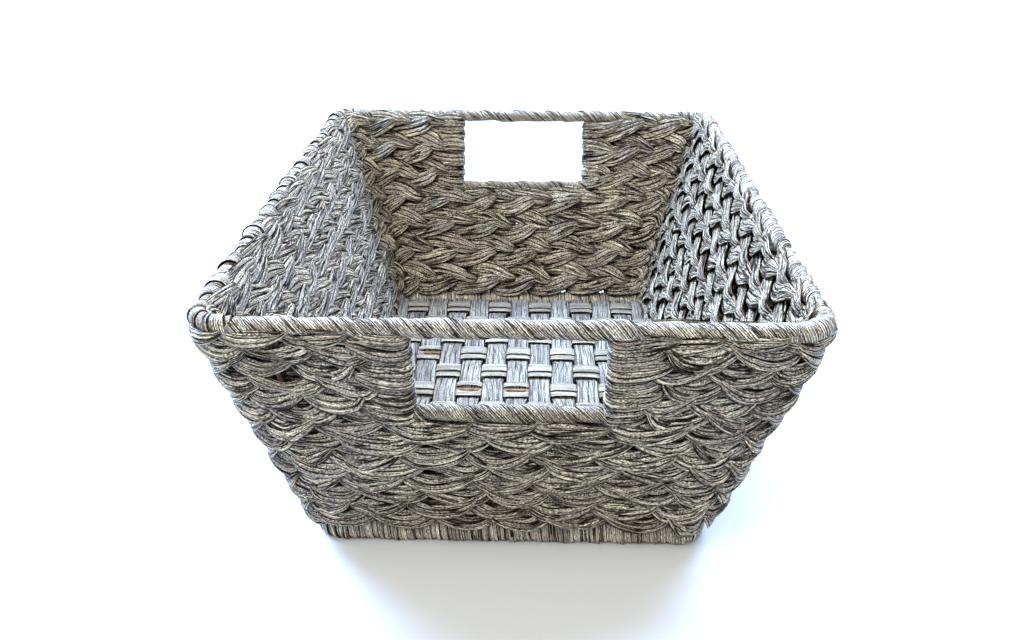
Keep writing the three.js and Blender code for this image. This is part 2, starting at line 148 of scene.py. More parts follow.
def wall_middles(level):
    """Distances along the loop: the middles of the right, back and left walls, and a full turn."""
    lengths = loop_lengths(level)
    ends = np.cumsum(lengths)
    return ends[1] + lengths[2] / 2, ends[3] + lengths[4] / 2, ends[5] + lengths[6] / 2, ends[-1]


# Each straight stretch: the signs of its start and of its end, and its outward direction
STRAIGHTS = {
    0: ((0, -1), (1, -1), (0, -1)), 2: ((1, -1), (1, 1), (1, 0)), 4: ((1, 1), (-1, 1), (0, 1)),
    6: ((-1, 1), (-1, -1), (-1, 0)), 8: ((-1, -1), (0, -1), (0, -1)),
}
# Each corner: the signs of its place, and the angle in degrees at which it starts
CORNERS = {1: (1, -1, -90), 3: (1, 1, 0), 5: (-1, 1, 90), 7: (-1, -1, 180)}


def on_loop(along, level, z):
    """Points of the loop at heights z, and which way is out. Distances are as measured at one level."""
    lengths = loop_lengths(level)
    ends = np.cumsum(lengths)
    place = np.mod(along, ends[-1])
    stretch = np.minimum(np.searchsorted(ends, place, side="right"), len(ends) - 1)
    share = (place - (ends - lengths)[stretch]) / lengths[stretch]
    width, length, radius = outline(z)
    a, b = width - radius, length - radius
    point = np.zeros((len(place), 2))
    out = np.zeros((len(place), 2))
    for k, (start, end, outward) in STRAIGHTS.items():
        here = stretch == k
        x = start[0] + (end[0] - start[0]) * share[here]
        y = start[1] + (end[1] - start[1]) * share[here]
        point[here, 0] = a[here] * x + radius[here] * outward[0]
        point[here, 1] = b[here] * y + radius[here] * outward[1]
        out[here] = outward
    for k, (sign_x, sign_y, first) in CORNERS.items():
        here = stretch == k
        angle = np.radians(first + 90 * share[here])
        out[here, 0], out[here, 1] = np.cos(angle), np.sin(angle)
        point[here, 0] = a[here] * sign_x + radius[here] * out[here, 0]
        point[here, 1] = b[here] * sign_y + radius[here] * out[here, 1]
    return point, out


def on_wall(along, level, down, proud):
    """Points on the wall, down its slope from a level and proud of its middle, with the wall's outward normal
    and its downward direction."""
    z = level - down * math.cos(SLOPE)
    flat, out = on_loop(along, level, z)
    count = len(z)
    normal = np.column_stack([out * math.cos(SLOPE), np.full(count, -math.sin(SLOPE))])
    downward = np.column_stack([-out * math.sin(SLOPE), np.full(count, -math.cos(SLOPE))])
    return np.column_stack([flat, z]) + normal * proud[:, None], normal, downward


# Small tools

def unit(vectors):
    return vectors / np.maximum(np.linalg.norm(vectors, axis=1, keepdims=True), 1e-9)


def ease(x):
    """From 0 to 1 with soft ends."""
    x = np.clip(x, 0, 1)
    return x * x * (3 - 2 * x)


def smooth_noise(size, step, amount, rng):
    """Values that wander smoothly, with a new random value every few stations. The tables below name the step
    between these stations and the amount as (step, amount)."""
    values = rng.normal(0, amount, int(size / step) + 4)
    x = np.arange(size) / step
    i = x.astype(int)
    share = ease(x - i)
    return values[i] * (1 - share) + values[i + 1] * share


def smooth_curve(x, knots, values):
    """A smooth open curve through (knot, value) pairs."""
    slope = np.gradient(values, knots)
    i = np.clip(np.searchsorted(knots, x, side="right") - 1, 0, len(knots) - 2)
    h = knots[i + 1] - knots[i]
    t = (x - knots[i]) / h
    return (
        values[i] * (2 * t**3 - 3 * t**2 + 1)
        + slope[i] * h * (t**3 - 2 * t**2 + t)
        + values[i + 1] * (-2 * t**3 + 3 * t**2)
        + slope[i + 1] * h * (t**3 - t**2)
    )


def length_along(line):
    """Distance along a line of each of its points."""
    steps = np.linalg.norm(np.diff(line, axis=0), axis=1)
    return np.concatenate([[0], np.cumsum(steps)])


def point_values(shape, *values):
    """Three values for every point of a grid."""
    return np.stack([np.broadcast_to(value, shape) for value in values], -1)


def add_object(name, data):
    made = bpy.data.objects.new(name, data)
    bpy.context.scene.collection.objects.link(made)
    return made


class Bundle:
    """Collects strips into one mesh. A point's fibre is its distance along and across its strip and the
    strip's seed. Its folds are the phases of the folds and of the creases, and how near the edge it is, which
    the strip materials turn into painted shade and painted highlight."""

    def __init__(self):
        self.points, self.faces, self.fibre, self.folds, self.count = [], [], [], [], 0

    def add_grid(self, grid, fibre, folds, closed):
        """grid is stations x section points x 3. closed joins the section's last point to its first."""
        stations, section = grid.shape[:2]
        index = np.arange(stations * section).reshape(stations, section) + self.count
        a, b = index[:-1], index[1:]
        if closed:
            after = np.roll(np.arange(section), -1)
            quads = np.stack([a, a[:, after], b[:, after], b], -1)
        else:
            quads = np.stack([a[:, :-1], a[:, 1:], b[:, 1:], b[:, :-1]], -1)
        self.faces.append(quads.reshape(-1, 4))
        self.points.append(grid.reshape(-1, 3))
        self.fibre.append(fibre.reshape(-1, 3))
        self.folds.append(folds.reshape(-1, 3))
        self.count += stations * section

    def make(self, name, material):
        points = np.concatenate(self.points) * MM
        faces = np.concatenate(self.faces)
        mesh = bpy.data.meshes.new(name)
        mesh.vertices.add(len(points))
        mesh.vertices.foreach_set("co", points.astype(np.float32).ravel())
        mesh.loops.add(faces.size)
        mesh.loops.foreach_set("vertex_index", faces.astype(np.int32).ravel())
        mesh.polygons.add(len(faces))
        mesh.polygons.foreach_set("loop_start", np.arange(0, faces.size, 4, dtype=np.int32))
        mesh.polygons.foreach_set("use_smooth", np.ones(len(faces), bool))
        mesh.update(calc_edges=True)
        for layer_name, values in (("fibre", self.fibre), ("folds", self.folds)):
            layer = mesh.attributes.new(layer_name, "FLOAT_VECTOR", "POINT")
            layer.data.foreach_set("vector", np.concatenate(values).astype(np.float32).ravel())
        mesh.materials.append(material)
        return add_object(name, mesh)


# Strips

TOP_POINTS, BACK_POINTS = 21, 7
STRIP_THICKNESS = 1.1
STRIP_ARCH = 0.7
# Powers that keep a strip's edges square, and its folds high close to them
SQUARE_EDGE, FOLD_EDGE = 5, 8
# Every strip has the same threads across it, drawn for this half width
FULL_HALF_WIDTH = 6.4
# A strip in the shadow is painted as dark all over as it is this near its edge: painted shade
PAINTED_SHADOW_EDGE = 0.95
PATTERN_SPAN = 60

# Folds and finer creases run along a strip: how many to each half width, how far they wander over how many
# stations, the power that sharpens their valleys, and their height from a middle
Pleats = namedtuple("Pleats", "count wander stations power height middle")
FOLDS = Pleats(count=1.9, wander=0.3, stations=9, power=0.6, height=1.3, middle=0.7)
CREASES = Pleats(count=3.6, wander=0.45, stations=6, power=0.7, height=0.6, middle=0.65)
PLEAT_CHANGE = (7, 0.35)


def pleat_height(pleats, phase):
    return pleats.height * (np.abs(np.sin(math.pi * phase)) ** pleats.power - pleats.middle)


def lay_strip(bundle, centre, half, across, bulge, arch, pleat, rng, thickness=STRIP_THICKNESS,
              in_shadow=False):
    """A crinkled flat strip along centre. across is roughly its width direction, and bulge, the way that it
    arches, is longer where the arch is stronger. pleat is the height of its folds. in_shadow gives the strip
    painted shade all over."""
    n = len(centre)
    seed = rng.uniform(0, PATTERN_SPAN)
    tangent = unit(np.gradient(centre, axis=0))
    across = unit(across - tangent * np.sum(across * tangent, 1, keepdims=True))
    face = np.cross(across, tangent)
    top = np.linspace(-1, 1, TOP_POINTS)
    back = np.linspace(1, -1, BACK_POINTS + 2)[1:-1]
    q = np.concatenate([top, back])
    side = np.concatenate([np.ones(TOP_POINTS), -np.ones(BACK_POINTS)])
    rounding = (1 - np.abs(q) ** SQUARE_EDGE) * side
    fold_drift = smooth_noise(n, FOLDS.stations, 1.0, rng)[:, None]
    crease_drift = smooth_noise(n, CREASES.stations, 1.0, rng)[:, None]
    depth = 1 + smooth_noise(n, *PLEAT_CHANGE, rng)[:, None]
    fold_phase = FOLDS.count * q + FOLDS.wander * fold_drift + seed
    crease_phase = CREASES.count * q + CREASES.wander * crease_drift + 2 * seed
    waves = pleat_height(FOLDS, fold_phase) + pleat_height(CREASES, crease_phase)
    lift = pleat * depth * waves * (1 - np.abs(q) ** FOLD_EDGE)
    grid = (
        centre[:, None]
        + across[:, None] * (half[:, None] * q)[..., None]
        + bulge[:, None] * (arch * (1 - q**2))[None, :, None]
        + face[:, None] * (lift + thickness / 2 * rounding)[..., None]
    )
    shape = grid.shape[:2]
    fibre = point_values(shape, length_along(centre)[:, None], q * FULL_HALF_WIDTH, seed)
    # In the shadow, the edge place is set so that the whole strip gets painted shade
    to_edge = PAINTED_SHADOW_EDGE if in_shadow else np.abs(q)
    bundle.add_grid(grid, fibre, point_values(shape, fold_phase, crease_phase, to_edge), True)


# Strands on the wall: a strip's path before it is laid

# Distance along the loop, down the wall and proud of its middle, half width, and which way the strip bulges
Strand = namedtuple("Strand", "along down proud half bulge_along bulge_out")
STATION = 2.3
LOOK_AHEAD = 0.5
# A strip that is this proud lies wholly on one face of the wall
FACE_PROUD = 3.0
# The half width that gives the full arch, and how strips are tilted on each face
ARCH_HALF = 6.0
OUTER_TILT, INNER_TILT = 0.24, 0.10
# How a strip wanders. It is steady at its ends.
WANDER_DOWN = (9, 0.6)
WANDER_PROUD = (8, 0.3)
WANDER_HALF = (9, 0.09)
STEADY_STATIONS = 6

# Rows that are slack near the front left corner: place before a full turn, and how slack
SLACK = {1: (-113, 0.58), 2: (-110, 0.42), 3: (-108, 0.55), 5: (-104, 0.42), 7: (-100, 0.45)}
SLACK_REACH = 9.0
SLACK_SAG = 2.5


def slack_at(row, total):
    place, strength = SLACK.get(row, (0, 0))
    return total + place, strength


def evenly(strand):
    """The same strand with its stations spaced evenly."""
    length = length_along(np.column_stack([strand.along, strand.down, strand.proud]))
    places = np.linspace(0, length[-1], int(length[-1] / STATION) + 2)
    return Strand(*(np.interp(places, length, values) for values in strand))


def turned_round(strand):
    return Strand(*(values[::-1] for values in strand))


def on_face(along, down, proud, half):
    """A strand that bulges away from the wall on the face that it lies on."""
    return Strand(along, down, proud, half, np.zeros(len(along)), np.clip(proud / FACE_PROUD, -1, 1))


def lay_strand(bundle, level, strand, pleat, rng, slack=(0, 0), in_shadow=False):
    """The strip of one strand. slack is a place and a strength: there the strip is narrow and sags."""
    along, down, proud, half, bulge_along, bulge_out = evenly(strand)
    n = len(along)
    steady = ease(np.minimum(np.arange(n), n - 1 - np.arange(n)) / STEADY_STATIONS)
    down = down + smooth_noise(n, *WANDER_DOWN, rng) * steady
    proud = proud + smooth_noise(n, *WANDER_PROUD, rng) * steady
    half = half * (1 + smooth_noise(n, *WANDER_HALF, rng) * steady)
    place, strength = slack
    near = np.exp(-(((along - place) / SLACK_REACH) ** 2)) * ease(proud / FACE_PROUD)
    half = half * (1 - strength * near)
    down = down + near * strength * SLACK_SAG
    centre, normal, downward = on_wall(along, level, down, proud)
    ahead, _, _ = on_wall(along + LOOK_AHEAD, level, down, proud)
    bulge = normal * bulge_out[:, None] + unit(ahead - centre) * bulge_along[:, None]
    tilt = np.where(bulge_out > 0, OUTER_TILT, INNER_TILT)[:, None]
    lay_strip(bundle, centre, half, downward + bulge * tilt, bulge * (half / ARCH_HALF)[:, None], STRIP_ARCH,
              pleat, rng, in_shadow=in_shadow)


# The rows of weave

ROW_COUNT = 14
UPPER_ROWS = 6
# Lower edges of the first and last row, down the slope from the rim wire, and how far above its edge the line
# lies that a row's stitches are measured from
FIRST_EDGE, LAST_EDGE = 9.0, 139.5
EDGE_TO_CENTRE = 9.9
ROW_PITCH = (LAST_EDGE - FIRST_EDGE) / (ROW_COUNT - 1)
# How far stakes stray along the loop, and how far beyond an upright its handle still counts
LOWER_STRAY, UPPER_STRAY = 1.0, 1.2
NEAR_UPRIGHT = 8.0

# A stitch passes over a stake on one face of the wall. Each entry has the place along it, in columns from the
# stake, how far down, how proud of the wall and how wide to each side. The outer stitch hangs like a garland,
# from under its neighbour to a long point on top of the next one, and rows lean left and right in turn. The
# inner stitches' points all lie the same way along the wall, up in one row and down in the next.
OUTER_STITCH = (
    (-0.76, -2.6, -0.5, 4.6), (-0.70, -1.8, 1.6, 5.2), (-0.62, -0.2, 3.0, 5.6), (-0.52, 1.6, 4.0, 6.0),
    (-0.40, 3.0, 4.7, 6.4), (-0.25, 3.5, 5.0, 6.7), (-0.08, 2.5, 5.4, 6.4), (0.08, 0.6, 5.8, 5.6),
    (0.20, -1.4, 6.1, 4.6), (0.31, -3.4, 6.1, 3.3), (0.39, -4.6, 5.0, 2.3), (0.475, -5.4, 0.6, 1.6),
)
INNER_STITCH = (
    (-0.88, -5.2, -1.5, 1.3), (-0.83, -5.1, -5.0, 2.1), (-0.75, -4.6, -6.9, 3.3), (-0.62, -3.4, -7.2, 4.7),
    (-0.46, -1.4, -6.5, 5.7), (-0.28, 0.6, -5.5, 6.1), (-0.10, 2.2, -4.6, 6.0), (0.08, 3.0, -3.9, 5.8),
    (0.22, 3.2, -3.0, 5.4), (0.33, 3.0, -1.6, 4.8), (0.40, 2.6, 0.6, 4.2),
)
# Inside, odd rows are shifted by these columns, and even rows are mirrored about half of this height
INNER_SHIFT = 0.40
INNER_MIRROR = 0.2
# Outside and inside: the scale of a stitch's width, and the height of its folds
STITCH_WIDTH = (1.08, 1.12)
STITCH_PLEAT = (0.52, 0.38)
# How much stitches differ in drop, turn, width and lift
STITCH_SPREAD = (0.5, 1.0, 0.06, 0.06)
STITCH_SAMPLES = 60

# The strip from a handle frame's upright to the first crossing: share of its reach, then as above. It ends in
# a point on top of the next stitch, or tucked in under the point of that one.
FOLD_POINTED = (
    (0.0, 2.5, 3.6, 6.3), (0.2, 2.3, 4.6, 6.3), (0.4, 1.2, 5.2, 6.0), (0.6, -0.6, 5.8, 5.2),
    (0.8, -2.8, 6.1, 3.8), (0.92, -4.0, 5.6, 2.6), (1.0, -4.6, 2.0, 1.8),
)
FOLD_TUCKED = (
    (0.0, 2.5, 3.6, 6.3), (0.25, 2.5, 4.3, 6.3), (0.5, 2.0, 4.6, 6.2), (0.75, 0.6, 4.0, 5.8),
    (0.92, -1.2, 2.0, 5.2), (1.0, -2.2, -0.5, 4.6),
)
# Outside and inside, each tucked and pointed: the fold's reach as a share of the gap to the next stake
FOLD_REACH = ((0.72, 0.84), (0.75, 0.90))
# Inside, even rows are mirrored about half of this height
FOLD_MIRROR = 5.0
# A fold has left the radius of its turn after its reach divided by this
FOLD_LEAVES = 3
FOLD_PLEAT = 0.42
FOLD_SAMPLES, TURN_SAMPLES = 40, 15

# The strip through the wall: where it starts and ends between two stakes, and how proud it is there
CROSSING_FROM, CROSSING_TO = 0.14, 0.86
CROSSING_PROUD = 1.6
CROSSING_HALF = 6.0
CROSSING_BULGE, CROSSING_PLEAT = 0.3, 0.3
CROSSING_SAMPLES = 12

# Under the rim and under a handle bar: the share left of a stitch's swing, how far it is pushed down, and the
# share left of its width, which under the bar differs outside and inside
RIM_SWING, RIM_PUSH, RIM_WIDTH = 0.5, 3.6, 0.72
BAR_SWING, BAR_PUSH, BAR_WIDTH = 0.55, 2.8, (0.86, 0.95)
# Each row below this one lies further down inside, and its crossings lie further down and are wider
LAST_EVEN_ROW = 9
INNER_LOWER, CROSSING_LOWER, CROSSING_WIDER = 1.1, 0.9, 0.6

# The sides of the handle openings, and how much shorter stitches are towards them
OPENING_HALF = 46.0
FOLD_RADIUS = UPRIGHT_X - OPENING_HALF - STRIP_THICKNESS / 2
BESIDE_UPRIGHT = 0.8
# The strips round the right upright at the back sit tighter and further from the opening
TIGHT_SHIFT = 1.3
# The first of them has slipped down and lies narrow, so that the wire shows bare under the rim
SLIPPED_DOWN, SLIPPED_WIDTH = 2.4, 0.62


def row_level(row):
    return RIM_Z - (FIRST_EDGE + ROW_PITCH * row - EDGE_TO_CENTRE) * math.cos(SLOPE)


def columns_at(level):
    """Distances along the loop of the stakes and corner posts, once round."""
    share = share_down(level)
    short = np.array([rim + (base - rim) * share for base, rim in short_columns])
    long = np.array([rim + (base - rim) * share for base, rim in long_columns])
    right, back, left, total = wall_middles(level)
    lengths = loop_lengths(level)
    ends = np.cumsum(lengths)
    posts = np.array([ends[k] - lengths[k] / 2 for k in CORNERS])
    return np.sort(np.concatenate([np.mod(short, total), right + long, back + short, left + long, posts]))


def fitted(row, down, half, inner, under_bar=False):
    """The first row is squeezed in under the rim, and the first one below a handle bar under the bar. The
    lowest ones are spread further down inside."""
    if row == 0:
        return down * RIM_SWING + RIM_PUSH, half * RIM_WIDTH
    if under_bar:
        return down * BAR_SWING + BAR_PUSH, half * BAR_WIDTH[inner]
    if inner:
        down = down + INNER_LOWER * max(0, row - LAST_EVEN_ROW)
    return down, half


def along_table(table, places):
    """How far down, how proud and how wide a strip is at places along its table."""
    return [smooth_curve(places, table[:, 0], table[:, k]) for k in (1, 2, 3)]


def lay_stitch(bundle, level, row, place, reach, inner, rng, slack, under_bar=False):
    """One stitch over the stake at a place. reach scales it before and after the stake."""
    table = np.array(INNER_STITCH if inner else OUTER_STITCH)
    if inner and row % 2 == 1:
        table[:, 0] += INNER_SHIFT
    elif inner:
        table[:, 1] = INNER_MIRROR - table[:, 1]
    elif row % 2 == 1:
        table = table[::-1] * np.array([-1, 1, 1, 1])
    u = np.linspace(table[0, 0], table[-1, 0], STITCH_SAMPLES)
    down, proud, half = along_table(table, u)
    drop, turn, wider, lift = rng.normal(0, 1, 4) * STITCH_SPREAD
    down = down + drop + turn * u
    half = half * (STITCH_WIDTH[inner] + wider)
    proud = proud * (1 + lift)
    down, half = fitted(row, down, half, inner, under_bar)
    strand = on_face(place + u * np.where(u < 0, reach[0], reach[1]), down, proud, half)
    if inner:
        strand, slack = turned_round(strand), (0, 0)
    lay_strand(bundle, level, strand, STITCH_PLEAT[inner], rng, slack)


def lay_crossing(bundle, level, row, place, gap, rng, under_bar=False):
    """The strip between two stakes, on its way through the wall. It lies in the gap between stitches and is
    given painted shade all over.
    """
    u = np.linspace(CROSSING_FROM, CROSSING_TO, CROSSING_SAMPLES)
    proud = CROSSING_PROUD * np.cos(math.pi * ease((u - u[0]) / (u[-1] - u[0])))
    lowered = max(0, row - LAST_EVEN_ROW)
    down = np.full(len(u), CROSSING_LOWER * lowered)
    half = np.full(len(u), CROSSING_HALF + CROSSING_WIDER * lowered)
    down, half = fitted(row, down, half, False, under_bar)
    strand = Strand(place + u * gap, down, proud, half, np.zeros(len(u)), np.full(len(u), CROSSING_BULGE))
    lay_strand(bundle, level, strand, CROSSING_PLEAT, rng, in_shadow=True)


def lay_fold(bundle, level, row, upright, way, gap, radius, rng, slipped):
    """The strip that turns round an upright. way is the turn's direction along the loop, and gap the distance
    to the next stake."""
    outer_pointed = (row % 2 == 0) == (way < 0)
    share = np.linspace(0, 1, FOLD_SAMPLES)
    parts = []
    for inner, pointed in enumerate((outer_pointed, way > 0)):
        table = np.array(FOLD_POINTED if pointed else FOLD_TUCKED)
        if inner:
            table[:, 2] *= -1
        if inner and row % 2 == 0:
            table[1:, 1] = FOLD_MIRROR - table[1:, 1]
        down, proud, half = along_table(table, share)
        to_radius = np.sign(proud[0]) * (radius - abs(proud[0]))
        proud = proud + to_radius * (1 - ease(share * FOLD_LEAVES))
        down, half = fitted(row, down, half, inner)
        reach = gap * FOLD_REACH[inner][pointed]
        parts.append(on_face(upright - way * share * reach, down, proud, half))
    turn = np.linspace(0, math.pi, TURN_SAMPLES)[1:-1]
    down, half = np.full(len(turn), parts[0].down[0]), np.full(len(turn), parts[0].half[0])
    along = upright + way * radius * np.sin(turn)
    bend = Strand(along, down, radius * np.cos(turn), half, way * np.sin(turn), np.cos(turn))
    strand = Strand(*(np.concatenate([a[::-1], b, c]) for a, b, c in zip(parts[0], bend, parts[1])))
    if slipped:
        strand = strand._replace(down=strand.down + SLIPPED_DOWN, half=strand.half * SLIPPED_WIDTH)
    if way < 0:
        strand = turned_round(strand)
    lay_strand(bundle, level, strand, FOLD_PLEAT, rng)


def lower_row(bundle, row):
    """A row below the handles: it goes all the way round."""
    level = row_level(row)
    _, back_middle, _, total = wall_middles(level)
    columns = columns_at(level)
    columns = columns + column_rng.normal(0, LOWER_STRAY, len(columns))
    before = np.mod(columns - np.roll(columns, 1), total)
    after = np.roll(before, -1)
    for k, place in enumerate(columns):
        from_middle = min(abs(place - back_middle), place, total - place)
        under_bar = row == UPPER_ROWS and from_middle < UPRIGHT_X + NEAR_UPRIGHT
        number = row * SEEDS_PER_ROW + k
        for inner in (False, True):
            lay_stitch(bundle, level, row, place, (before[k], after[k]), inner,
                       draws("lower_stitches", number * 2 + inner), slack_at(row, total), under_bar)
        lay_crossing(bundle, level, row, place, after[k], draws("lower_crossings", number), under_bar)


def upper_row(bundle, row, right):
    """A row beside the handles: it turns back round the upright of each handle frame."""
    level = row_level(row)
    _, back_middle, _, total = wall_middles(level)
    if right:
        start, end = UPRIGHT_X, back_middle - UPRIGHT_X
    else:
        start, end = back_middle + UPRIGHT_X, total - UPRIGHT_X
    columns = columns_at(level)
    inside = columns[(columns > start + NEAR_UPRIGHT) & (columns < end - NEAR_UPRIGHT)]
    inside = inside + column_rng.normal(0, UPPER_STRAY, len(inside))
    gaps = np.diff(np.concatenate([[start], inside, [end]]))
    last = len(inside) - 1
    for k, place in enumerate(inside):
        before = gaps[k] * (BESIDE_UPRIGHT if k == 0 else 1)
        after = gaps[k + 1] * (BESIDE_UPRIGHT if k == last else 1)
        number = (row * SEEDS_PER_ROW + k) * 2
        for inner in (False, True):
            lay_stitch(bundle, level, row, place, (before, after), inner,
                       draws("upper_stitches", (number + inner) * 2 + right), slack_at(row, total))
        if k < last:
            lay_crossing(bundle, level, row, place, gaps[k + 1], draws("upper_crossings", number + right))
    for upright, way, gap in ((start, -1, gaps[0]), (end, 1, gaps[-1])):
        at_back_right = right and way > 0
        shift = TIGHT_SHIFT if at_back_right else 0
        lay_fold(bundle, level, row, upright - shift, way, gap, FOLD_RADIUS - shift,
                 draws("folds", row * 4 + (way > 0) * 2 + right), at_back_right and row == 0)


# Materials

WHITE, BLACK = (1, 1, 1), (0, 0, 0)


def new_material(name, roughness):
    material = bpy.data.materials.new(name)
    material.use_nodes = True
    shader = material.node_tree.nodes["Principled BSDF"]
    shader.inputs["Roughness"].default_value = roughness
    return material, material.node_tree, shader


def node(tree, kind, **values):
    """A new node. Values whose names start with in_ go into the sockets of that name."""
    made = tree.nodes.new(kind)
    for key, value in values.items():
        if key.startswith("in_"):
            made.inputs[key[3:].replace("_", " ")].default_value = value
        else:
            setattr(made, key, value)
    return made


def fill(tree, socket, value):
    """Sets a socket to a number or a colour, or links it to another socket."""
    if isinstance(value, (int, float)):
        socket.default_value = value
    elif isinstance(value, tuple):
        socket.default_value = (*value, 1)
    else:
        tree.links.new(value, socket)


def math_node(tree, operation, *values):
    made = node(tree, "ShaderNodeMath", operation=operation)
    for slot, value in enumerate(values):
        fill(tree, made.inputs[slot], value)
    return made.outputs[0]


def mixed(tree, share, a, b, blend="MIX"):
    made = node(tree, "ShaderNodeMix", data_type="RGBA", blend_type=blend)
    for slot, value in ((0, share), (6, a), (7, b)):
        fill(tree, made.inputs[slot], value)
    return made.outputs[2]


def ramp(tree, value, stops):
    made = tree.nodes.new("ShaderNodeValToRGB")
    elements = made.color_ramp.elements
    while len(elements) < len(stops):
        elements.new(0.5)
    for element, (place, colour) in zip(elements, stops):
        element.position = place
        element.color = (*colour, 1)
    tree.links.new(value, made.inputs[0])
    return made.outputs[0]


def split_attribute(tree, name):
    attribute = node(tree, "ShaderNodeAttribute", attribute_name=name)
    parts = tree.nodes.new("ShaderNodeSeparateXYZ")
    tree.links.new(attribute.outputs["Vector"], parts.inputs[0])
    return parts.outputs


def add_bump(tree, shader, height, strength, distance):
    bump = node(tree, "ShaderNodeBump", in_Strength=strength, in_Distance=distance)
    tree.links.new(height, bump.inputs["Height"])
    tree.links.new(bump.outputs[0], shader.inputs["Normal"])


# Ramps across a strip's patterns. For cracks, threads and valleys, a place is the distance from the line.
FLECK_PLACES = (0.42, 0.50, 0.59)
PALE_THREAD = ((0.006, WHITE), (0.022, BLACK))
BROAD_SHADE = ((0.32, (0.66, 0.60, 0.61)), (0.68, (1.20, 1.21, 1.12)))
FINE_CRACK = ((0.008, (0.26, 0.24, 0.22)), (0.04, WHITE))
WIDE_CRACK = ((0.014, (0.07, 0.06, 0.05)), (0.055, WHITE))
# Painted shade in the fold valleys, and a painted highlight on the fold tops
FOLD_VALLEY_SHADE = ((0.09, (0.05, 0.042, 0.036)), (0.28, WHITE))
FOLD_TOP_HIGHLIGHT = (1.0, (1.06, 1.06, 1.04))
# Painted shade in the crease valleys
CREASE_VALLEY_SHADE = ((0.03, (0.36, 0.33, 0.30)), (0.18, WHITE))
# At the edge: a painted highlight, then painted contact shade where strips meet and overlap
EDGE_HIGHLIGHT_AND_SHADE = ((0.78, WHITE), (0.87, (1.32, 1.31, 1.26)), (0.93, (0.55, 0.52, 0.49)), (0.985, (0.12, 0.10, 0.09)))
# How strongly fine cracks show, and how much light a strip's open faces throw back
FINE_SHARE = 0.8
SHEEN = 0.55
# The relief of the threads: pitch across the strip, wobble, depth, then what cracks and flecks add to it
THREAD_PITCH = 0.8
THREAD_WOBBLE = 6.0
THREAD_DEPTH = 0.28
BUMP_STRENGTH = 0.9
CRACK_REACH, CRACK_CUT = 0.08, 14.0
FLECK_RELIEF = 0.7


class StripPattern:
    """Patterns stretched along a strip, in its own distances along and across."""

    def __init__(self, tree):
        self.tree = tree
        self.fibre = split_attribute(tree, "fibre")

    def noise(self, along, across, detail, shift=0.0):
        tree = self.tree
        place = tree.nodes.new("ShaderNodeCombineXYZ")
        changes = (("MULTIPLY", along), ("MULTIPLY", across), ("ADD", shift))
        for part, (operation, value), socket in zip(self.fibre, changes, place.inputs):
            tree.links.new(math_node(tree, operation, part, value), socket)
        made = node(tree, "ShaderNodeTexNoise", in_Scale=1.0, in_Detail=detail, in_Roughness=0.55)
        tree.links.new(place.outputs[0], made.inputs["Vector"])
        return made.outputs["Fac"]

    def line(self, along, across, shift):
        """Distance from thin lines that run along the strip."""
        value = self.noise(along, across, 1.0, shift)
        return math_node(self.tree, "ABSOLUTE", math_node(self.tree, "SUBTRACT", value, 0.5))

    def threads(self):
        """The rounded backs of threads that lie side by side."""
        wobble = self.noise(along=0.05, across=0.3, detail=1.0, shift=3.1)
        count = math_node(self.tree, "ADD",
                          math_node(self.tree, "MULTIPLY", self.fibre[1], 2 * math.pi / THREAD_PITCH),
                          math_node(self.tree, "MULTIPLY", wobble, THREAD_WOBBLE))
        return wave(self.tree, count, 0.5)


def wave(tree, phase, scale):
    """A row of rounded humps with a sharp valley between any two, from 0 in the valley to 1 on the hump."""
    turned = math_node(tree, "SINE", math_node(tree, "MULTIPLY", phase, scale))
    return math_node(tree, "ABSOLUTE", turned)


